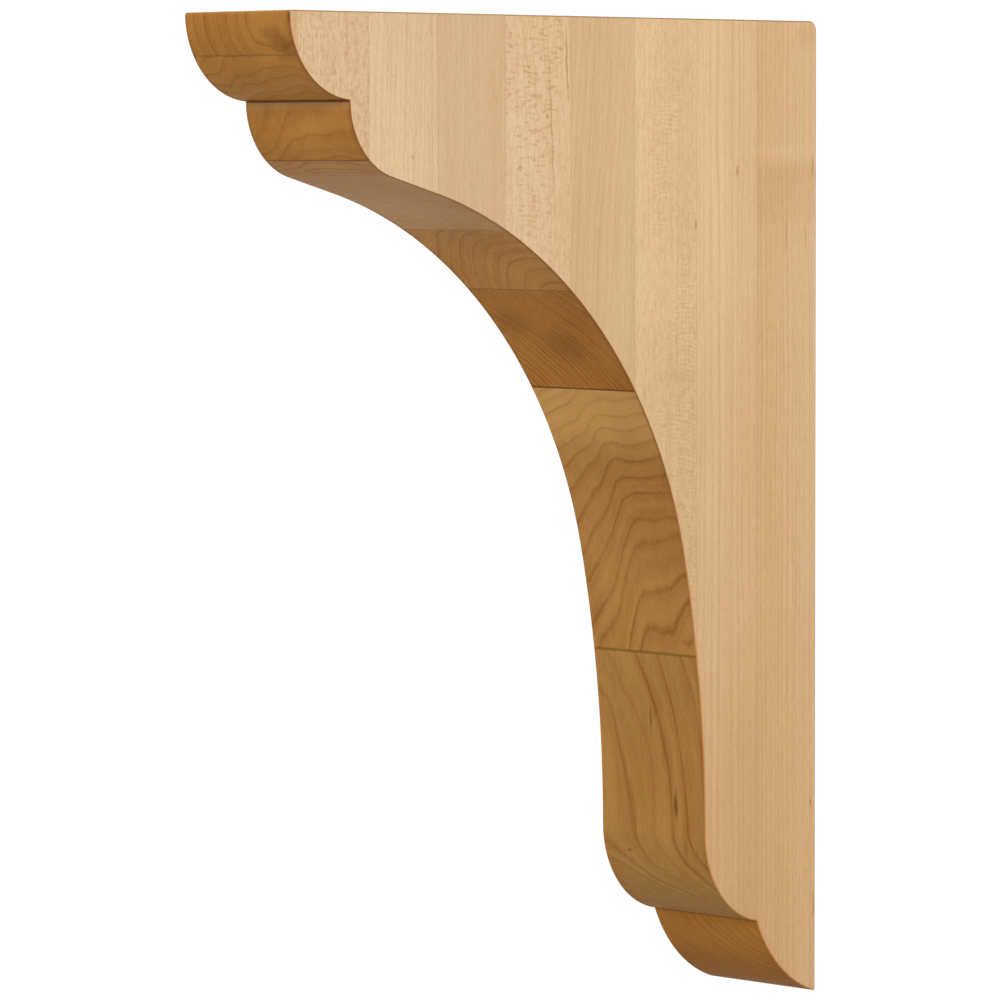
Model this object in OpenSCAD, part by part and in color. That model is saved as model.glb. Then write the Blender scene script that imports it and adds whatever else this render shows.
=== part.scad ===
// Wooden corbel bracket, built up from edge-glued maple staves.
//
// The staves stand upright side by side, like the boards of a chopping block, and the
// whole block is then sawn to one outline, so every stave is a slice of that outline.
// Origin: centre of the flat back that meets the wall. +Y points into the wall,
// +Z is up and X runs across the bracket's thickness.

/* [Overall size] */
// How far the bracket stands out from the wall
projection = 228.6; // [150:0.1:330]
// Height of the back against the wall
height = 304.8; // [240:0.1:420]
// Thickness across the two flat sides
thickness = 42.9; // [20:0.1:90]

/* [Staves] */
// Depth of the thin strip left at the nose by the last cut
nose_strip_d = 3.4; // [1:0.1:20]

/* [Upper mouldings] */
// Radius of the quarter round under the nose
nose_roll_r = 25.4; // [18:0.1:36]
// How far back from the nose the second roll starts
upper_step_d = 23.8; // [16:0.1:34]
// Radius of the second roll
second_roll_r = 22.8; // [16:0.1:32]

/* [Sweep] */
// Slope at which the second roll runs out into the sweep, in degrees
shelf_slope = 15; // [5:0.5:25]
// Length of the straight run before the sweep turns down
shelf_l = 19.5; // [5:0.1:40]
// How full the sweep is: its first tangent as a part of the distance it has to cross
sweep_bow = 0.77; // [0.6:0.01:0.85]
// Depth of the neck, the narrowest place
neck_d = 52.4; // [42:0.1:66]

/* [Foot] */
// Radius of the roll below the neck
neck_roll_r = 30; // [24:0.1:60]
// Height of the foot under the lower step
foot_h = 25.3; // [16:0.1:40]
// Radius of the foot's own roll
foot_roll_r = 44.5; // [34:0.1:90]

/* [Top] */
// Rounding where the top meets the wall
wall_corner_r = 3; // [1:0.1:8]

/* [Hidden] */
STAVES = ["stave_1", "stave_2", "stave_3", "stave_4", "stave_5", "stave_6", "stave_7", "stave_8"];

// The staves share what the nose strip leaves; stave 1 stands against the wall
stave_d = (projection - nose_strip_d) / len(STAVES);
// The lower step falls on the glue line of stave 1
foot_d = stave_d;

// Steps along a roll and along the long sweep
ROLL_STEPS = 16;
SWEEP_STEPS = 40;
CORNER_STEPS = 6;

// Wood tones of the staves from the wall outwards
STAVE_COLOURS = ["#d8b184", "#d7b185", "#dcb98d", "#d7b48a", "#debc93", "#d5b288", "#ddbc93", "#d6b48c"];
STRIP_COLOUR = "#cda779";

// The outline is drawn as a path in [distance back from the nose, distance below the top].
// A heading is the direction of travel: 0 runs back to the wall and 90 runs straight down.

function along(heading) = [cos(heading), sin(heading)];

function last(path) = path[len(path) - 1];

// Points of an arc that leaves start at one heading and ends at another
function turn(start, from, to, r, steps) =
    let (side = sign(to - from))
    [for (i = [0 : steps])
        let (h = from + (to - from) * i / steps)
        start + side * r * [sin(h) - sin(from), cos(from) - cos(h)]];

// Heading at which a roll that starts straight down has moved back by a given distance
function roll_end(r, distance) = asin(max(-1, 1 - distance / r));

// Rolls at the nose: a quarter round, then a second roll that starts under its end
nose_roll = turn([0, 0], 90, roll_end(nose_roll_r, upper_step_d), nose_roll_r, ROLL_STEPS);
second_roll = turn(last(nose_roll), 90, shelf_slope, second_roll_r, ROLL_STEPS);

// Roll below the neck, which starts straight down and ends at the lower step
neck_x = projection - neck_d;
step_point = [projection - foot_d, height - foot_h];
neck_roll_end = roll_end(neck_roll_r, neck_d - foot_d);
neck_roll_drop = neck_roll_r * cos(neck_roll_end);
neck_roll = turn([neck_x, step_point.y - neck_roll_drop], 90, neck_roll_end, neck_roll_r, ROLL_STEPS);

// Foot roll, one arc from the lower step to the bottom of the wall face
toe_point = [projection, height];
foot_chord = toe_point - step_point;
foot_heading = atan2(foot_chord.y, foot_chord.x);
foot_half_turn = asin(min(1, norm(foot_chord) / 2 / foot_roll_r));
foot_roll = turn(step_point, foot_heading + foot_half_turn, foot_heading - foot_half_turn,
                 foot_roll_r, ROLL_STEPS);

// Sweep between the straight shelf and the neck: two arcs that share a tangent.
// The first tangent's length is chosen by sweep_bow and the second one follows from it.
sweep_start = last(second_roll) + shelf_l * along(shelf_slope);
sweep_end = neck_roll[0];
first_tangent = sweep_bow * (sweep_end.x - sweep_start.x);
rest_of_way = sweep_end - sweep_start - first_tangent * along(shelf_slope);
second_tangent = (rest_of_way * rest_of_way - first_tangent * first_tangent)
                 / (2 * (rest_of_way.y + first_tangent));
sweep_knee = rest_of_way - [0, second_tangent];
sweep_middle = atan2(sweep_knee.y, sweep_knee.x);
first_sweep = turn(sweep_start, shelf_slope, sweep_middle,
                   first_tangent / tan((sweep_middle - shelf_slope) / 2), SWEEP_STEPS);
second_sweep = turn(last(first_sweep), sweep_middle, 90,
                    second_tangent / tan((90 - sweep_middle) / 2), ROLL_STEPS);

// Rounded corner where the wall face turns into the top
wall_corner = turn([projection, wall_corner_r], -90, -180, wall_corner_r, CORNER_STEPS);

outline_path = concat(nose_roll, second_roll, first_sweep, second_sweep, neck_roll, foot_roll, wall_corner);

// Whole outline, seen from the side with the wall at the origin and +y up
module outline() {
    polygon([for (p = outline_path) [p.x - projection, height / 2 - p.y]]);
}

// Slice of the outline between two distances from the wall, at full thickness
module slice(from_wall, depth) {
    rotate([90, 0, 90])
        linear_extrude(height = thickness, center = true)
            intersection() {
                outline();
                translate([-from_wall - depth, -height])
                    square([depth, 2 * height]);
            }
}

// One upright stave; index 0 is the one against the wall
module stave(index) {
    color(STAVE_COLOURS[index]) slice(index * stave_d, stave_d);
}

// Thin strip at the nose, the remains of the outermost board
module nose_strip() {
    color(STRIP_COLOUR) slice(len(STAVES) * stave_d, nose_strip_d);
}

for (i = [0 : len(STAVES) - 1])
    stave(i);
nose_strip();
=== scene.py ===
"""Looks of the wooden corbel bracket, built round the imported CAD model.

Each glued stave is one closed mesh that replaces its CAD solid: the same outline with eased
arrises and a faint hand-sanded unevenness on the sawn face. The wood is a solid texture of
growth rings round a pith line, set stave by stave, so that side, sawn face and top agree.
Lengths are in millimetres until a mesh or an object is made.
"""
import math
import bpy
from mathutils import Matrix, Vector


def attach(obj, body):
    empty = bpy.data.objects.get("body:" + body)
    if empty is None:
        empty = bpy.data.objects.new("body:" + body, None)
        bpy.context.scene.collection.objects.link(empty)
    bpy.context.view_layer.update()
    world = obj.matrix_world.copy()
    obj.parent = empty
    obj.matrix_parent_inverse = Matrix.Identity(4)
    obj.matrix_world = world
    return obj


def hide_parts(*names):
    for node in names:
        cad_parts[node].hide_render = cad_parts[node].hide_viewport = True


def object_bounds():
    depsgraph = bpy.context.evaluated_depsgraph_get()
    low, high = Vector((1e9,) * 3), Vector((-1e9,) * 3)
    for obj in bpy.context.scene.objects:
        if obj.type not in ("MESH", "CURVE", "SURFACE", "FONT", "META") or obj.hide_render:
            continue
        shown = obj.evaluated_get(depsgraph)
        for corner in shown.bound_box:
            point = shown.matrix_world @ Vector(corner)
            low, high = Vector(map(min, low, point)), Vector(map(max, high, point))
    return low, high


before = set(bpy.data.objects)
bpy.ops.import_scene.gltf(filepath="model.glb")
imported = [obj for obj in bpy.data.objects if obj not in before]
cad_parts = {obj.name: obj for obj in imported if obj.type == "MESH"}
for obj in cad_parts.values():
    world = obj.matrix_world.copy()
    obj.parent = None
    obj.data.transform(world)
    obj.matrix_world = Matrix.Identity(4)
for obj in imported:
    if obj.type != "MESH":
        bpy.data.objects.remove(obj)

from types import SimpleNamespace

import bmesh
import bpy
from mathutils import Matrix, Vector, noise

MM = 0.001
cad_low, cad_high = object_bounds()
THICKNESS, PROJECTION, HEIGHT = ((high - low) / MM for low, high in zip(cad_low, cad_high))

# ---------------------------------------------------------------- outline, as in the CAD model
# A name that ends in D is a depth along the projection, in H a height, in L a length along the
# outline and in R a radius
STAVE_COUNT = 8
NOSE_STRIP_D = 3.4
STAVE_D = (PROJECTION - NOSE_STRIP_D) / STAVE_COUNT
NOSE_ROLL_R = 25.4
UPPER_STEP_D = 23.8     # from the nose back to the upper step
SECOND_ROLL_R = 22.8
SHELF_SLOPE = 15        # degrees that the straight shelf drops towards the wall
SHELF_L = 19.5
SWEEP_BOW = 0.77        # the sweep's first tangent, as a share of the sweep's depth
NECK_D = 52.4           # from the neck to the wall
NECK_ROLL_R = 30
FOOT_D = STAVE_D        # the lower step lies on the first glue line
FOOT_H = 25.3           # from the lower step to the toe
FOOT_ROLL_R = 44.5
WALL_CORNER_R = 3       # rounding of the top corner at the wall

# Finish of the meshes
ARRIS_R = 0.4           # rounding of the long arrises
SHARP_EDGE = 30         # degrees between two faces past which their edge is shaded sharp
CORNER_SOFTENING = 0.9  # points nearer than this to the nose or toe corner give way to a round
STEP_ALONG = 1.1        # mesh step along the sawn face
STEP_FLAT = 4.0         # mesh step along the top and the wall face
HOLDS = (1.0, 1.4)      # extra points from the ends of a flat, just past the softening
STEP_ACROSS = 1.6       # mesh step across the thickness
ARRIS_STEPS = 4         # faces across an arris
RELIEF = 0.14           # depth of the sanding unevenness
RELIEF_LENGTH = 26.0    # distance from one hollow of it to the next
SLICE_REACH = 1e-7      # metres within which a slice takes a point as lying on its plane

# The zones of the surface, as each face stores them for its material
SIDE, WALL, ARRIS, TOP, SAWN = 0.0, 0.2, 0.5, 0.7, 1.0


def along(heading):
    """Unit step in (back, down) for a heading in degrees: 0 goes back, 90 goes down."""
    return Vector((math.cos(math.radians(heading)), math.sin(math.radians(heading))))


def turn(start, first, last, radius):
    """Points of an arc that leaves start at one heading and ends at another."""
    steps = max(4, math.ceil(abs(math.radians(last - first)) * radius / STEP_ALONG))
    side = math.copysign(radius, last - first)
    out = []
    for i in range(steps + 1):
        here = first + (last - first) * i / steps
        out.append(Vector(start) + side * Vector((along(here).y - along(first).y,
                                                  along(first).x - along(here).x)))
    return out


def line(start, end, step):
    """Points from start to end, both included, about a step apart."""
    start, end = Vector(start), Vector(end)
    count = max(1, round((end - start).length / step))
    return [start.lerp(end, i / count) for i in range(count + 1)]


def held_line(start, end):
    """A long flat, with points close to each end so that the shading stays flat between."""
    points = line(start, end, STEP_FLAT)
    near_start = [points[0].lerp(points[1], hold / STEP_FLAT) for hold in HOLDS]
    near_end = [points[-1].lerp(points[-2], hold / STEP_FLAT) for hold in reversed(HOLDS)]
    return points[:1] + near_start + points[1:-1] + near_end + points[-1:]


def roll_end(radius, distance):
    """Heading at which a roll that starts straight down has moved back by a distance."""
    return math.degrees(math.asin(max(-1.0, 1 - distance / radius)))


STEP_Z = HEIGHT / 2 - NOSE_ROLL_R * along(roll_end(NOSE_ROLL_R, UPPER_STEP_D)).x
FOOT_Z = FOOT_H - HEIGHT / 2


def sawn_path():
    """The sawn face from the nose to the toe, in (back, down)."""
    nose_roll = turn((0, 0), 90, roll_end(NOSE_ROLL_R, UPPER_STEP_D), NOSE_ROLL_R)
    second_roll = turn(nose_roll[-1], 90, SHELF_SLOPE, SECOND_ROLL_R)

    step_point = Vector((PROJECTION - FOOT_D, HEIGHT - FOOT_H))
    neck_end = roll_end(NECK_ROLL_R, NECK_D - FOOT_D)
    neck_start = (PROJECTION - NECK_D, step_point.y - NECK_ROLL_R * along(neck_end).x)
    neck_roll = turn(neck_start, 90, neck_end, NECK_ROLL_R)

    chord = Vector((PROJECTION, HEIGHT)) - step_point
    chord_heading = math.degrees(math.atan2(chord.y, chord.x))
    half_turn = math.degrees(math.asin(chord.length / 2 / FOOT_ROLL_R))
    foot_roll = turn(step_point, chord_heading + half_turn, chord_heading - half_turn, FOOT_ROLL_R)

    # The sweep is two arcs that share a tangent, from the straight shelf to the neck
    shelf = line(second_roll[-1], second_roll[-1] + SHELF_L * along(SHELF_SLOPE), STEP_ALONG)
    first_tangent = SWEEP_BOW * (neck_roll[0].x - shelf[-1].x)
    rest = neck_roll[0] - shelf[-1] - first_tangent * along(SHELF_SLOPE)
    second_tangent = (rest.length_squared - first_tangent ** 2) / (2 * (rest.y + first_tangent))
    middle = math.degrees(math.atan2(rest.y - second_tangent, rest.x))
    half_first = math.radians(middle - SHELF_SLOPE) / 2
    half_second = math.radians(90 - middle) / 2
    first_sweep = turn(shelf[-1], SHELF_SLOPE, middle, first_tangent / math.tan(half_first))
    second_sweep = turn(first_sweep[-1], middle, 90, second_tangent / math.tan(half_second))

    path = nose_roll
    for part in (second_roll, shelf, first_sweep, second_sweep, neck_roll, foot_roll):
        path = path + part[1:]
    return path


def soften(path, corner):
    """Rounds the corner between the last and first point of a closed path."""
    kept = [p for p in path if (p - corner).length > CORNER_SOFTENING]
    before, after = kept[-1], kept[0]
    curve = []
    for i in range(1, ARRIS_STEPS + 1):
        t = i / (ARRIS_STEPS + 1)
        curve.append(before.lerp(corner, t).lerp(corner.lerp(after, t), t))
    return kept, curve


def closed_outline():
    """The whole outline as points and the zone of the stretch that starts at each."""
    nose, toe = Vector((0, 0)), Vector((PROJECTION, HEIGHT))
    sawn = sawn_path()
    wall_top = Vector((PROJECTION, WALL_CORNER_R))
    corner = turn(wall_top, -90, -180, WALL_CORNER_R)
    wall = held_line(toe, wall_top)
    top = held_line(corner[-1], nose)
    stretches = [(sawn, SAWN), (wall[1:], WALL), (corner[1:], TOP), (top[1:-1], TOP)]
    points = [p for part, _ in stretches for p in part]
    zones = [zone for part, zone in stretches for _ in part]
    for sharp in (nose, toe):
        near = min(range(len(points)), key=lambda i: (points[i] - sharp).length)
        points = points[near:] + points[:near]
        zones = zones[near:] + zones[:near]
        zone_of = {tuple(p): z for p, z in zip(points, zones)}
        points, curve = soften(points, sharp)
        zones = [zone_of[tuple(p)] for p in points]
        # The softened corner is sawn; its last point already begins the next stretch
        zones = zones + [SAWN] * (len(curve) - 1) + zones[:1]
        points = points + curve
    return points, zones


def inward(points):
    """Mitred inward direction at each point of the closed outline."""
    count = len(points)
    out = []
    for i in range(count):
        a = (points[i] - points[i - 1]).normalized()
        b = (points[(i + 1) % count] - points[i]).normalized()
        first, second = Vector((a.y, -a.x)), Vector((b.y, -b.x))
        out.append((first + second) / (1 + first.dot(second)))
    return out


def cross_profile():
    """(inset, x) from the +X side to the -X side: an eased arris, the flat, an eased arris."""
    half = THICKNESS / 2
    arris = []
    for i in range(ARRIS_STEPS + 1):
        angle = math.pi / 2 * i / ARRIS_STEPS
        arris.append((ARRIS_R * (1 - math.sin(angle)), half - ARRIS_R * (1 - math.cos(angle))))
    inner = half - ARRIS_R
    count = round(2 * inner / STEP_ACROSS)
    flat = [(0.0, inner - 2 * inner * i / count) for i in range(1, count)]
    return arris + flat + [(inset, -x) for inset, x in reversed(arris)]


def sanding(back, down, x):
    """Depth of the faint unevenness that sanding leaves on the sawn face."""
    spot = Vector((back, down, 0.6 * x)) / RELIEF_LENGTH
    return RELIEF * (0.5 + 0.5 * noise.noise(spot))


def whole_block():
    """The bracket before it is told apart into staves, as a closed bmesh in metres."""
    points, zones = closed_outline()
    insides = inward(points)
    profile = cross_profile()
    bm = bmesh.new()
    zone_layer = bm.faces.layers.float.new("zone")
    rows = []
    for point, inside, zone in zip(points, insides, zones):
        row = []
        for inset, x in profile:
            depth = inset
            if zone == SAWN and inset == 0:
                depth = sanding(point.x, point.y, x)
            spot = point + depth * inside
            row.append(bm.verts.new(Vector((x, spot.x - PROJECTION, HEIGHT / 2 - spot.y)) * MM))
        rows.append(row)
    for i, row in enumerate(rows):
        following = rows[(i + 1) % len(rows)]
        for j in range(len(profile) - 1):
            face = bm.faces.new((row[j], row[j + 1], following[j + 1], following[j]))
            face.smooth = True
            on_arris = min(j, len(profile) - 2 - j) < ARRIS_STEPS
            face[zone_layer] = ARRIS if on_arris else zones[i]
    for column in (0, len(profile) - 1):
        side = bm.faces.new([row[column] for row in rows])
        side[zone_layer] = SIDE
    bmesh.ops.recalc_face_normals(bm, faces=bm.faces)
    return bm


def stave_mesh(block, name, low, high):
    """The slice of the block between two values of y, closed at its glued faces."""
    bm = block.copy()
    for place, direction in ((low, -1), (high, 1)):
        bmesh.ops.bisect_plane(bm, geom=bm.verts[:] + bm.edges[:] + bm.faces[:], dist=SLICE_REACH,
                               plane_co=(0, place * MM, 0), plane_no=(0, direction, 0),
                               clear_outer=True)
    open_edges = [e for e in bm.edges if e.is_boundary]
    if open_edges:
        bmesh.ops.holes_fill(bm, edges=open_edges, sides=0)
    bmesh.ops.recalc_face_normals(bm, faces=bm.faces)
    for edge in bm.edges:
        flat = any(not face.smooth for face in edge.link_faces)
        edge.smooth = not flat and edge.calc_face_angle(0.0) < math.radians(SHARP_EDGE)
    bmesh.ops.triangulate(bm, faces=[f for f in bm.faces if len(f.verts) > 4])
    mesh = bpy.data.meshes.new(name)
    bm.to_mesh(mesh)
    bm.free()
    return mesh


# ---------------------------------------------------------------- wood
class Graph:
    """A small helper that adds shader nodes and wires them."""

    def __init__(self, tree):
        self.tree = tree
        tree.nodes.clear()

    def add(self, kind, inputs=None, **settings):
        """A node whose inputs are wired where they are sockets, and set where they are values."""
        node = self.tree.nodes.new(kind)
        for key, value in settings.items():
            setattr(node, key, value)
        for key, value in (inputs or {}).items():
            if isinstance(value, bpy.types.NodeSocket):
                self.tree.links.new(value, node.inputs[key])
            else:
                node.inputs[key].default_value = value
        return node

    def math(self, operation, first, second=0.0, third=0.0):
        """The result of arithmetic on up to three numbers."""
        inputs = {0: first, 1: second, 2: third}
        return self.add("ShaderNodeMath", inputs, operation=operation).outputs[0]

    def vector(self, operation, first, second):
        """The result of arithmetic on two vectors, or on a vector and a number to scale it."""
        key = "Scale" if operation == "SCALE" else 1
        return self.add("ShaderNodeVectorMath", {0: first, key: second}, operation=operation).outputs[0]

    def along_axis(self, axis, value):
        """A vector of that length along x, y or z, given as 0, 1 or 2."""
        return self.add("ShaderNodeCombineXYZ", {axis: value}).outputs[0]

    def random(self, value):
        """A number from 0 to 1 that is fixed for each value."""
        return self.add("ShaderNodeTexWhiteNoise", {"W": value}, noise_dimensions="1D").outputs["Value"]

    def length(self, vector):
        """How long a vector is."""
        return self.add("ShaderNodeVectorMath", {0: vector}, operation="LENGTH").outputs["Value"]

    def noise(self, place, grain, detail=2.0, roughness=0.5, colour=False):
        """Noise with that many bumps for each millimetre along x, y and z, about 0."""
        spot = self.vector("MULTIPLY", place, grain)
        inputs = {"Vector": spot, "Scale": 1.0, "Detail": detail, "Roughness": roughness}
        node = self.add("ShaderNodeTexNoise", inputs)
        if colour:
            return self.vector("SUBTRACT", node.outputs["Color"], (0.5, 0.5, 0.5))
        return self.math("SUBTRACT", node.outputs["Fac"], 0.5)

    def span(self, value, low, high, first=0.0, last=1.0):
        """Smooth step of value from low to high, as first to last."""
        inputs = {"Value": value, "From Min": low, "From Max": high, "To Min": first, "To Max": last}
        return self.add("ShaderNodeMapRange", inputs, interpolation_type="SMOOTHSTEP").outputs[0]

    def ramp(self, value, stops):
        """Straight lines through (value, level) stops."""
        node = self.add("ShaderNodeValToRGB", {"Fac": value})
        elements = node.color_ramp.elements
        while len(elements) < len(stops):
            elements.new(0.5)
        for i, (position, level) in enumerate(stops):
            elements[i].position = position
            elements[i].color = (level, level, level, 1)
        return node.outputs["Color"]

    def sum(self, *terms):
        """Sum of (value, weight) terms."""
        total = 0.0
        for value, weight in terms:
            total = self.math("MULTIPLY_ADD", value, weight, total)
        return total

    def shaded(self, colour, amount, rates):
        """The colour darkened by an amount, each channel at its own rate."""
        amount = self.math("MINIMUM", amount, DARKEST)
        loss = self.vector("SCALE", tuple(-rate for rate in rates), amount)
        return self.vector("MULTIPLY", colour, self.vector("ADD", loss, (1.0, 1.0, 1.0)))

    def mix(self, factor, first, second, blend="MIX"):
        """From the first colour to the second as the factor goes from 0 to 1."""
        node = self.add("ShaderNodeMix", {0: factor, 6: first, 7: second}, data_type="RGBA",
                        blend_type=blend)
        return node.outputs[2]


def rgb(red, green, blue):
    """A colour given as screen values from 0 to 255."""
    return tuple(((v / 255 + 0.055) / 1.055) ** 2.4 for v in (red, green, blue)) + (1.0,)


DARK = (0.19, 0.055, 0.006, 1.0)    # mineral streaks and the heart of the knot
RUST = (0.40, 0.15, 0.035, 1.0)     # streaks on the sides
PALE = rgb(238, 208, 165)
UNDER_STEP_PALE = (0.78, 0.46, 0.19, 1.0)    # the paler band under the upper step
ARRIS_SHADE = (0.24, 0.09, 0.02, 1.0)     # painted shade on the arris in the upper part, where its rounding turns from the light
ARRIS_HIGHLIGHT = (0.62, 0.26, 0.08, 1.0)   # painted highlight on the lit arris near the foot
PLAIN_EDGE = (0.40, 0.25, 0.11, 1.0)    # arris along the top and the wall
GLUE_AND_CREASE_SHADE = (0.11, 0.036, 0.003, 1.0)  # glue lines, and the painted shade in the creases under the steps
OLIVE_FILM = (0.28, 0.135, 0.012, 1.0)

# How each stave is cut from its board. pith: x and y of the ring centre. ring: ring spacing.
# wander: slow waviness. fold: bends in the rings (x from, x to, rise). lean: how far they lean
# along the stave. knot: what the rings bulge round (centre, radius, pull). line: strength of the
# late wood on the side and on the sawn face. fleck, dash and curl: strength of the small flecks,
# of the wide ones and of the cross ripple on the side. side: its tone at the nose end and at the
# wall end. foot: how it deepens downwards, partly painted shade of the light falling off and partly
# the wood's own tone. sawn: tone of the sawn face, with a painted sheen in it on stave_6. pale:
# where that is paler (depth from, depth to, amount), as the wood's own tone on stave_3, as a
# painted sheen on stave_7 and on stave_1 to leave painted shade on the lower foot roll.
# specular: its reflection. marks: streaks and spots (centre, radii, amount, colour).
STAVES = {
    "nose_strip": dict(
        pith=(20, -252), ring=4.0, wander=1.5, line=(0.3, 1.0), fleck=0.5,
        side=((208, 170, 124), (208, 171, 126)), sawn=(195, 133, 58), specular=0.2,
        knot=((15.5, -228, 145), 10.0, 9.0),
        marks=[((13.2, -228, 146.2), (6.0, 3, 2.4), 0.28, DARK),
               ((15.8, -227, 143.4), (5.5, 3, 3.0), 0.42, DARK),
               ((18.4, -227, 140.4), (4.5, 3, 3.2), 0.36, DARK),
               ((21.2, -228.4, 150.6), (0.6, 0.6, 2.4), 0.70, DARK)]),
    "stave_8": dict(
        pith=(14, -112), ring=3.3, wander=2.0, line=(0.3, 0.9), fleck=0.75, dash=0.3,
        side=((216, 182, 143), (215, 181, 141)), sawn=(202, 139, 63), specular=0.2,
        marks=[((17, -226, 139.5), (6, 3, 4), 0.3, DARK)]),
    # stave_7: the paler lower part of its sawn face is a painted sheen
    "stave_7": dict(
        pith=(6, -86), ring=1.9, wander=1.4, line=(0.45, 1.0), fleck=0.35,
        side=((222, 189, 149), (219, 185, 143)), sawn=(204, 142, 69),
        pale=(-193, -184, 0.22), specular=0.6,
        marks=[((21, -179.5, 111), (3, 0.7, 0.9), 0.50, RUST),
               ((21, -171.3, 130), (3, 0.5, 60), 0.18, RUST)]),
    # stave_6: its sawn tone is the wood's own, made paler and greyer as a painted sheen
    "stave_6": dict(
        pith=(-5, -60), ring=3.0, wander=2.0, line=(0.3, 0.4), fleck=0.15,
        side=((211, 176, 134), (212, 177, 134)), sawn=(214, 158, 96), specular=0.55),
    "stave_5": dict(
        pith=(20, -96), ring=3.9, wander=1.0, lean=-0.05, line=(0.5, 1.2), fleck=0.5, dash=0.72,
        side=((223, 190, 149), (220, 184, 142)), sawn=(210, 145, 66), specular=0.35,
        marks=[((21, -115, 118), (3, 0.5, 34), 0.40, RUST),
               ((21, -107.4, 138), (3, 0.5, 14), 0.60, RUST)]),
    "stave_4": dict(
        pith=(-60, -50), ring=1.45, wander=0.8, lean=0.078, line=(0.45, 1.5), fleck=0.1,
        side=((213, 177, 134), (216, 182, 139)), sawn=(199, 133, 51), specular=0.25,
        marks=[((-13, -104, 64), (11, 8, 10), 0.30, DARK), ((2, -98, 55), (11, 8, 10), 0.30, DARK)]),
    "stave_3": dict(
        pith=(60, 230), ring=2.5, wander=0.6, fold=[(-9, 1, 1.7), (1, 15, -2.2)], line=(0.3, 1.3),
        fleck=0.45, curl=1.0, side=((225, 191, 148), (220, 185, 140)), sawn=(192, 136, 68),
        pale=(-70, -79, 0.95), specular=0.2,
        marks=[((21, -57, 90), (2, 0.5, 2.6), 0.75, RUST), ((21, -66, 44), (30, 12, 2.6), 0.10, RUST),
               ((18.5, -56.7, -38), (3.2, 0.6, 2.0), 0.50, DARK)]),
    "stave_2": dict(
        pith=(-29, 44), ring=2.5, wander=0.8, line=(0.6, 1.0), fleck=0.15,
        side=((225, 190, 147), (222, 185, 141)), foot=(0.87, 0.78, 0.67), sawn=(189, 137, 71),
        specular=0.12,
        marks=[((0.3, -54, -63), (0.45, 2, 5.5), 0.70, DARK), ((9.4, -52, -89), (0.9, 2, 6), 0.75, DARK),
               ((13, -51.5, -103), (1.2, 2, 3.5), 0.35, DARK),
               ((-10.8, -51, -105.5), (0.7, 2, 0.6), 0.80, DARK),
               ((21, -37.5, 106), (2, 0.7, 3.5), 0.45, RUST)]),
    # stave_1: its dark sawn tone, paler only on the upper foot roll, is partly the wood's own tone and
    # partly painted shade on the downward-facing foot roll
    "stave_1": dict(
        pith=(59, -116), ring=1.9, wander=0.6, line=(0.65, 1.0), fleck=0.15,
        side=((216, 177, 132), (222, 186, 142)), foot=(0.97, 0.92, 0.86), sawn=(185, 121, 47),
        pale=(-14, -27, 0.4), specular=0.1,
        marks=[((21, -14, 112), (26, 40, 2.6), 0.10, PALE), ((21, -14, 105), (26, 40, 4), 0.14, RUST),
               ((21, -14, 97), (26, 40, 9), 0.12, RUST), ((21, -14.5, 86), (2, 0.5, 6.5), 0.50, RUST),
               ((21, -5.3, 86), (2, 0.6, 4), 0.45, RUST), ((21, -2, 108), (2, 0.5, 5), 0.55, RUST),
               ((21, -2.5, -92), (2, 0.5, 2), 0.50, DARK), ((21, -1, -125), (2, 0.5, 6), 0.60, RUST),
               ((21, -5, 148), (2, 6, 6), 0.15, RUST)]),
}
# Each glue line on the sawn face, by the node on its wall side: strength, half width, colour
GLUE = {
    "stave_8": (0.25, 0.35, GLUE_AND_CREASE_SHADE), "stave_7": (0.60, 0.35, GLUE_AND_CREASE_SHADE),
    "stave_6": (0.10, 0.35, GLUE_AND_CREASE_SHADE), "stave_5": (0.12, 0.35, GLUE_AND_CREASE_SHADE),
    "stave_4": (0.30, 0.35, GLUE_AND_CREASE_SHADE), "stave_3": (1.00, 0.35, GLUE_AND_CREASE_SHADE),
    "stave_2": (1.00, 0.60, OLIVE_FILM), "stave_1": (0.40, 0.35, GLUE_AND_CREASE_SHADE),
}
NO_GLUE = (0.0, 0.35, GLUE_AND_CREASE_SHADE)
LATE_WOOD_D = 0.34      # half the depth of a late wood line
# How fast red, green and blue fall where the wood darkens, and the most that it darkens
SIDE_RATES = (0.55, 0.85, 1.10)
SAWN_RATES = (0.50, 0.72, 1.15)
DARKEST = 0.85
# How much of the sawn face's look each zone of the surface takes
STAIN = [(SIDE, 0.0), (WALL, 0.12), (ARRIS, 0.9), (TOP, 0.6), (SAWN, 1.0)]
FOOT_SHADE_TINT = (0.86, 0.78, 0.70)      # what the side is multiplied by at the foot: painted shade of the light falling off downwards, partly the wood's own deeper tone
FOOT_FADE = (70.0, -135.0)          # heights between which the side goes from none of it to all
ARRIS_FADE = (30, -50)              # heights between which the arris goes from painted shade to painted highlight
ARRIS_COVER = 0.75                  # how much of the wood's own colour the arris's painted shade and highlight hide
EDGE_BAND = 2.0                     # width of the painted shade along the sawn face's edges, where they round off
UNDER_STEP_PALE_FADE = (3.6, 1.2)            # how far below the upper step the paler band fades out
CREASE_SHADES = ((STEP_Z, 0.85), (FOOT_Z, 0.25))  # height and strength of the painted shade line in the corner under each step
CURL_RATE = 4.4                     # radians of the curl's wave for each millimetre up
SIDE_GLUE = 0.10                    # strength of the glue lines on the sides
MARK_EDGE = (1.1, 0.3)              # where a mark starts and is full, in its own radii
MARK_JAG = 1.6                      # how far a mark's edge strays
ROUGHNESS = 0.46                    # of the satin finish
BUMP_DEPTH = 0.06                   # depth of the fibres and pores


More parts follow.
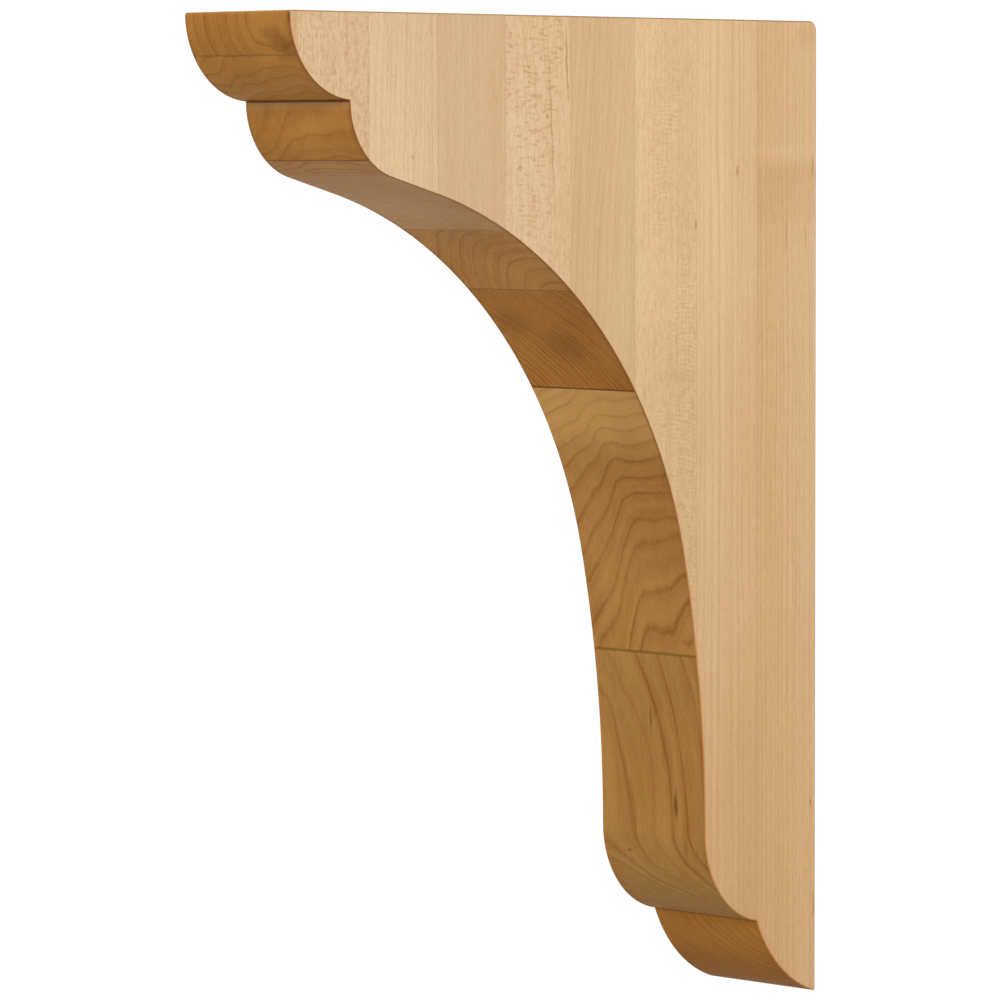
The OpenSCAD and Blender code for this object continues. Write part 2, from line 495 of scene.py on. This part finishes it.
def ring_lines(g, bent, pith, ring):
    """Growth rings round the pith line: thin late wood, its soft run-up, and a slow tone."""
    distance = g.length(g.vector("MULTIPLY", g.vector("SUBTRACT", bent, (*pith, 0)), (1, 1, 0)))
    count = g.math("DIVIDE", distance, ring)
    year = g.random(g.math("FLOOR", count))
    # Each line lies somewhere in the middle of its ring, so the spacing is uneven
    line_at = g.math("MULTIPLY_ADD", year, 0.5, 0.25)
    before = g.math("SUBTRACT", line_at, g.math("FRACT", count))
    width = LATE_WOOD_D / ring
    late = g.span(g.math("ABSOLUTE", before), width, 0.2 * width)
    run_up = g.math("MULTIPLY", g.span(before, 0.5, 0.0), g.math("GREATER_THAN", before, 0.0))
    strength = g.random(g.math("MULTIPLY_ADD", year, 50.0, 0.5))
    late = g.math("MULTIPLY", late, g.span(strength, -0.5, 0.9))
    tone = g.add("ShaderNodeTexNoise", {"W": g.math("MULTIPLY", count, 0.35), "Detail": 1.0},
                 noise_dimensions="1D").outputs["Fac"]
    return late, run_up, g.math("SUBTRACT", tone, 0.5)


def bend_place(g, at, wander, lean, fold, knot):
    """The place leant with the board, and that again with the bends of its rings."""
    leant = g.vector("ADD", at.place, g.along_axis(1, g.math("MULTIPLY", at.level, -lean)))
    shift = g.noise(at.place, (0.06, 0.06, 0.012), detail=1.0, colour=True)
    wobble = g.noise(at.place, (0.3, 0.3, 0.04), detail=1.0, colour=True)
    bent = g.vector("ADD", leant, g.vector("SCALE", shift, 5 * wander))
    bent = g.vector("ADD", bent, g.vector("SCALE", wobble, 0.55))
    rise = g.sum(*((g.span(at.across, first, last), height) for first, last, height in fold))
    bent = g.vector("ADD", bent, g.along_axis(1, rise))
    if knot:
        centre, radius, pull = knot
        bulge = g.span(g.length(g.vector("SUBTRACT", bent, centre)), radius, 0.0, 0.0, pull)
        bent = g.vector("ADD", bent, g.along_axis(0, bulge))
    return leant, bent


def grain_noises(g, at):
    """Noises that run up the stave with the fibres; across its ends they read as pores."""
    return SimpleNamespace(
        fibre=g.noise(at.place, (1.5, 1.5, 0.03), detail=4.0, roughness=0.65),
        streak=g.noise(at.place, (0.35, 0.35, 0.012), detail=2.0),
        fine=g.noise(at.place, (4.0, 4.0, 0.3), detail=2.0),
        mottle=g.noise(at.place, (0.035, 0.035, 0.02), detail=2.0),
        pores=g.span(g.noise(at.place, (2.2, 2.2, 0.22), detail=1.0), 0.12, 0.24))


def side_flecks(g, at, low, fleck, dash, curl):
    """Ray flecks, wide dashes and curl as they show on the flat sides."""
    spots = g.noise(at.place, (1.1, 1.3, 0.48), detail=1.0, roughness=0.6)
    bands = g.span(g.noise(at.place, (0.05, 0.14, 0.012)), -0.08, 0.12)
    dashes = g.span(g.noise(at.place, (0.8, 0.3, 1.0), detail=1.0), 0.03, 0.17)
    dashes = g.math("MULTIPLY", dashes, bands)
    swell = g.noise(at.place, (0.08, 0.1, 0.05), detail=1.0)
    wave = g.math("SINE", g.math("MULTIPLY_ADD", swell, 34.0, g.math("MULTIPLY", at.level, CURL_RATE)))
    ripple = g.sum((wave, 0.05), (g.noise(at.place, (0.15, 0.25, 1.2), detail=1.0), 0.38))
    patches = g.span(g.noise(at.place, (0.05, 0.09, 0.03)), -0.12, 0.1)
    patches = g.math("MULTIPLY", patches, g.span(at.depth, low + 2, low + 14))
    ripple = g.math("MULTIPLY", ripple, patches)
    return g.sum((g.span(spots, 0.03, 0.17), 0.26 * fleck), (g.span(spots, -0.03, -0.2), -0.14 * fleck),
                 (dashes, 0.34 * dash), (ripple, curl))


def side_look(g, at, grain, rings, low, high, side, foot, strength, flecks):
    """Colour of the flat sides, deeper and redder towards the foot, partly painted shade of the light
    falling off downwards and partly the wood's own tone.
    """
    tone_at = g.math("MULTIPLY_ADD", grain.mottle, 1.2, g.span(at.depth, low, high))
    tone = g.mix(tone_at, rgb(*side[0]), rgb(*side[1]))
    # Painted shade, partly the wood's own tone: the side deepens towards the foot
    fade_top, fade_bottom = FOOT_FADE
    fade = {"Value": at.level, "From Min": fade_top, "From Max": fade_bottom}
    down = g.add("ShaderNodeMapRange", fade).outputs[0]
    tone = g.mix(down, tone, (*foot, 1.0), blend="MULTIPLY")
    shade = g.sum((rings.late, 0.20 * strength), (rings.run_up, 0.09 * strength),
                  (rings.tone, 0.22 * strength), (grain.fibre, 0.34), (grain.streak, 0.10),
                  (grain.fine, 0.45), (grain.mottle, 0.15), (grain.pores, 0.03), (flecks, 1.0))
    return g.shaded(tone, shade, SIDE_RATES)


def sawn_look(g, at, grain, rings, sawn, strength, pale):
    """Colour of the sawn face, which drinks more of the finish and comes out darker and warmer."""
    # Painted shade along both edges, where the face rounds away from the light, stronger higher up
    edge_shade = g.span(g.math("ABSOLUTE", at.across), THICKNESS / 2 - EDGE_BAND, THICKNESS / 2)
    edge_shade = g.math("MULTIPLY", edge_shade, g.span(at.level, -20, 60, 0.3, 1.0))
    shade = g.sum((rings.late, 0.36 * strength), (rings.run_up, 0.14 * strength),
                  (rings.tone, 0.35 * strength), (grain.fibre, 0.55), (grain.streak, 0.30),
                  (grain.fine, 0.45), (grain.mottle, 0.8), (grain.pores, 0.18),
                  (edge_shade, 0.28), (at.across, 0.0025))
    # Paler between two depths: the wood's own paler top on stave_3, a painted sheen on stave_7, and on
    # stave_1 the upper foot roll, leaving painted shade on the lower part
    if pale:
        first, last, amount = pale
        shade = g.math("MULTIPLY_ADD", g.span(at.depth, first, last), -amount, shade)
    return g.shaded(rgb(*sawn)[:3], shade, SAWN_RATES)


def paint_arris_light(g, colour, at, on_arris):
    """The arris: painted shade in brown above, a thin painted highlight near the foot, plainer at top
    and wall.
    """
    arris_light = g.mix(g.span(at.level, *ARRIS_FADE), ARRIS_SHADE, ARRIS_HIGHLIGHT)
    plain = g.math("MAXIMUM", g.math("GREATER_THAN", at.level, HEIGHT / 2 - 1),
                   g.math("GREATER_THAN", at.depth, -1))
    arris_light = g.mix(plain, arris_light, PLAIN_EDGE)
    return g.mix(g.math("MULTIPLY", on_arris, ARRIS_COVER), colour, arris_light)


def paint_step_shade(g, colour, at, on_sawn):
    """Painted shade as a dark line in the corner under each step, and a paler band below the upper one.
    """
    fade_end, fade_start = UNDER_STEP_PALE_FADE
    band = g.math("MULTIPLY", g.span(at.level, STEP_Z - fade_end, STEP_Z - fade_start), on_sawn)
    band = g.math("MULTIPLY", band, g.math("LESS_THAN", at.level, STEP_Z + 0.3))
    colour = g.mix(g.math("MULTIPLY", band, 0.35), colour, UNDER_STEP_PALE)
    # Painted shade in the concave corner under each step
    for corner_z, strength in CREASE_SHADES:
        away = g.math("ABSOLUTE", g.math("SUBTRACT", at.level, corner_z))
        corner_shade = g.math("MULTIPLY", g.span(away, 0.6, 0.15), g.math("MULTIPLY", on_sawn, strength))
        colour = g.mix(corner_shade, colour, GLUE_AND_CREASE_SHADE)
    return colour


def glue_film(g, colour, at, normal, on_sawn, low, high, glue):
    """Glue lines at the two faces that meet the neighbours, as wide on a slant as square on."""
    slant = g.add("ShaderNodeSeparateXYZ", {0: normal}).outputs["Y"]
    slant = g.math("SQRT", g.math("SUBTRACT", 1.0, g.math("MULTIPLY", slant, slant)))
    for seam, (strength, half_width, film_colour) in zip((low, high), glue):
        away = g.math("DIVIDE", g.math("ABSOLUTE", g.math("SUBTRACT", at.depth, seam)), slant)
        on_side = SIDE_GLUE if strength else 0.0
        amount = g.math("MULTIPLY_ADD", on_sawn, 0.75 * strength, on_side)
        film = g.math("MULTIPLY", g.span(away, 1.25 * half_width, 0.4 * half_width), amount)
        colour = g.mix(film, colour, film_colour)
    return colour


def add_marks(g, colour, at, leant, marks):
    """Mineral streaks and the dark of the knot, soft-edged and a little jagged."""
    jag = g.vector("SCALE", g.noise(at.place, (0.5, 0.5, 0.25), detail=3.0, colour=True), MARK_JAG)
    jagged = g.vector("ADD", leant, g.vector("MULTIPLY", jag, (1.0, 1.0, 1.5)))
    for centre, radii, amount, mark_colour in marks:
        inside = g.vector("DIVIDE", g.vector("SUBTRACT", jagged, centre), radii)
        cover = g.math("MULTIPLY", g.span(g.length(inside), *MARK_EDGE), amount)
        colour = g.mix(cover, colour, mark_colour)
    return colour


def maple(name, low, high, glue, pith, ring, wander, line, fleck, side, sawn, specular, dash=0.0,
          curl=0.0, lean=0.0, foot=FOOT_SHADE_TINT, fold=(), knot=None, pale=None, marks=()):
    """Satin-finished maple: growth rings round a pith line, fibres, flecks, curl and streaks."""
    material = bpy.data.materials.new(name)
    material.use_nodes = True
    g = Graph(material.node_tree)
    coordinates = g.add("ShaderNodeTexCoord").outputs
    place = g.vector("SCALE", coordinates["Object"], 1 / MM)
    across, depth, level = g.add("ShaderNodeSeparateXYZ", {0: place}).outputs[:]
    at = SimpleNamespace(place=place, across=across, depth=depth, level=level)
    zone = g.add("ShaderNodeAttribute", attribute_name="zone").outputs["Fac"]
    on_arris = g.math("COMPARE", zone, ARRIS, 0.05)
    on_sawn = g.math("GREATER_THAN", zone, TOP + 0.1)

    leant, bent = bend_place(g, at, wander, lean, fold, knot)
    late, run_up, tone = ring_lines(g, bent, pith, ring)
    fading = g.span(g.noise(place, (0.05, 0.05, 0.02)), -0.25, 0.1, 0.3, 1.0)
    rings = SimpleNamespace(late=g.math("MULTIPLY", late, fading), run_up=run_up, tone=tone)
    grain = grain_noises(g, at)

    flecks = side_flecks(g, at, low, fleck, dash, curl)
    side_colour = side_look(g, at, grain, rings, low, high, side, foot, line[0], flecks)
    sawn_colour = sawn_look(g, at, grain, rings, sawn, line[1], pale)
    colour = g.mix(g.ramp(zone, STAIN), side_colour, sawn_colour)
    colour = paint_arris_light(g, colour, at, on_arris)
    colour = paint_step_shade(g, colour, at, on_sawn)
    colour = glue_film(g, colour, at, coordinates["Normal"], on_sawn, low, high, glue)
    colour = add_marks(g, colour, at, leant, marks)

    height = g.sum((grain.fibre, 0.7), (grain.fine, 1.0), (rings.late, -0.3), (grain.pores, -0.6))
    bump = g.add("ShaderNodeBump", {"Height": height, "Strength": 0.3, "Distance": BUMP_DEPTH * MM})
    roughness = g.math("MULTIPLY_ADD", grain.fibre, 0.25, ROUGHNESS)
    shader = g.add("ShaderNodeBsdfPrincipled", {
        "Base Color": colour, "Roughness": roughness, "Normal": bump.outputs[0],
        "Specular IOR Level": specular})
    g.add("ShaderNodeOutputMaterial", {"Surface": shader.outputs[0]})
    return material


def build_bracket():
    """Makes every stave, slices them from one block and puts each in its CAD solid's place."""
    block = whole_block()
    names = [f"stave_{i + 1}" for i in range(STAVE_COUNT)] + ["nose_strip"]
    for index, node in enumerate(names):
        high = -index * STAVE_D
        low = max(high - STAVE_D, -PROJECTION)
        mesh = stave_mesh(block, node + "_wood", low, high)
        piece = bpy.data.objects.new(node + "_wood", mesh)
        bpy.context.scene.collection.objects.link(piece)
        glue = (GLUE.get(node, NO_GLUE), GLUE.get(names[index - 1], NO_GLUE))
        mesh.materials.append(maple("maple_" + node, low, high, glue, **STAVES[node]))
        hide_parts(node)
        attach(piece, "root")
    block.free()


# ---------------------------------------------------------------- studio
FLOOR_DROP = 150        # gap from the toe to the floor
FLOOR_R = 850
FLOOR_TONES = (rgb(182, 180, 176), rgb(190, 188, 184))
# The camera's place comes from a fit to the photo's corners and glue lines; angles in degrees
CAMERA_AIM = (-3.7, -117.1, 7.8)
CAMERA_DISTANCE = 1572.5
CAMERA_AZIMUTH = 43.66
CAMERA_ELEVATION = 3.957
CAMERA_ROLL = -0.145
CAMERA_LENS = 188.31
SOFT_WHITE = (1.0, 0.98, 0.96)
LIGHTS = [
    dict(name="key", azimuth=72, elevation=28, distance=1700, size=900, power=20.6),
    dict(name="front_fill", azimuth=0, elevation=22, distance=1800, size=1400, power=7),
    dict(name="back_fill", azimuth=238, elevation=24, distance=1800, size=1300, power=10),
]
FILL = 0.8              # strength of the light from all round
# Its level from straight below, at 0, to straight above, at 1
FILL_LEVELS = [(0.0, 0.08), (0.24, 0.14), (0.34, 0.72), (0.5, 0.5), (0.7, 0.38), (1.0, 0.38)]
SEEN_WHITE = 1.05       # strength of the white that the camera sees


def direction(azimuth, elevation):
    """Unit vector from the bracket towards a place round it; azimuth 0 is out along -Y."""
    a, e = math.radians(azimuth), math.radians(elevation)
    return Vector((math.sin(a) * math.cos(e), -math.cos(a) * math.cos(e), math.sin(e)))


def add_camera():
    """The camera at the photograph's viewing angle."""
    data = bpy.data.cameras.new("camera")
    data.lens = CAMERA_LENS
    camera = bpy.data.objects.new("camera", data)
    bpy.context.scene.collection.objects.link(camera)
    back = direction(CAMERA_AZIMUTH, CAMERA_ELEVATION)
    camera.rotation_mode = "QUATERNION"
    roll = Matrix.Rotation(math.radians(CAMERA_ROLL), 3, "Z")
    camera.rotation_quaternion = ((-back).to_track_quat("-Z", "Y").to_matrix() @ roll).to_quaternion()
    camera.location = (Vector(CAMERA_AIM) + back * CAMERA_DISTANCE) * MM
    bpy.context.scene.camera = camera


def add_area(name, azimuth, elevation, distance, size, power):
    """A soft square light that looks at the bracket's middle."""
    data = bpy.data.lights.new(name, "AREA")
    data.shape = "SQUARE"
    data.size = size * MM
    data.energy = power
    data.color = SOFT_WHITE
    light = bpy.data.objects.new(name, data)
    bpy.context.scene.collection.objects.link(light)
    away = direction(azimuth, elevation)
    light.location = (Vector((0, -PROJECTION / 2, 0)) + away * distance) * MM
    light.rotation_euler = (-away).to_track_quat("-Z", "Y").to_euler()


def add_floor():
    """A round pale floor below the toe."""
    bm = bmesh.new()
    bmesh.ops.create_circle(bm, cap_ends=True, segments=96, radius=FLOOR_R * MM)
    mesh = bpy.data.meshes.new("floor")
    bm.to_mesh(mesh)
    bm.free()
    floor = bpy.data.objects.new("floor", mesh)
    floor.location = Vector((0, -PROJECTION / 2, -HEIGHT / 2 - FLOOR_DROP)) * MM
    bpy.context.scene.collection.objects.link(floor)
    material = bpy.data.materials.new("pale_floor")
    material.use_nodes = True
    g = Graph(material.node_tree)
    place = g.add("ShaderNodeTexCoord").outputs["Object"]
    cloud = g.add("ShaderNodeTexNoise", {"Vector": place, "Scale": 3.0}).outputs["Fac"]
    pale = g.mix(cloud, *FLOOR_TONES)
    shader = g.add("ShaderNodeBsdfPrincipled", {"Base Color": pale, "Roughness": 0.9})
    g.add("ShaderNodeOutputMaterial", {"Surface": shader.outputs[0]})
    mesh.materials.append(material)


def add_world():
    """White all round for the eye; for the light a soft fill, dimmer from straight below."""
    world = bpy.data.worlds.new("studio")
    world.use_nodes = True
    g = Graph(world.node_tree)
    heading = g.add("ShaderNodeSeparateXYZ", {0: g.add("ShaderNodeTexCoord").outputs["Generated"]})
    up = g.math("MULTIPLY_ADD", heading.outputs["Z"], 0.5, 0.5)
    level = g.ramp(up, FILL_LEVELS)
    seen = g.add("ShaderNodeBackground", {"Color": rgb(255, 255, 255), "Strength": SEEN_WHITE})
    fill = g.add("ShaderNodeBackground", {"Color": level, "Strength": FILL})
    camera_ray = g.add("ShaderNodeLightPath").outputs["Is Camera Ray"]
    both = g.add("ShaderNodeMixShader", {0: camera_ray, 1: fill.outputs[0], 2: seen.outputs[0]})
    g.add("ShaderNodeOutputWorld", {"Surface": both.outputs[0]})
    bpy.context.scene.world = world


bpy.context.scene.view_settings.view_transform = "Standard"
add_camera()
add_world()
for light in LIGHTS:
    add_area(**light)
add_floor()
build_bracket()
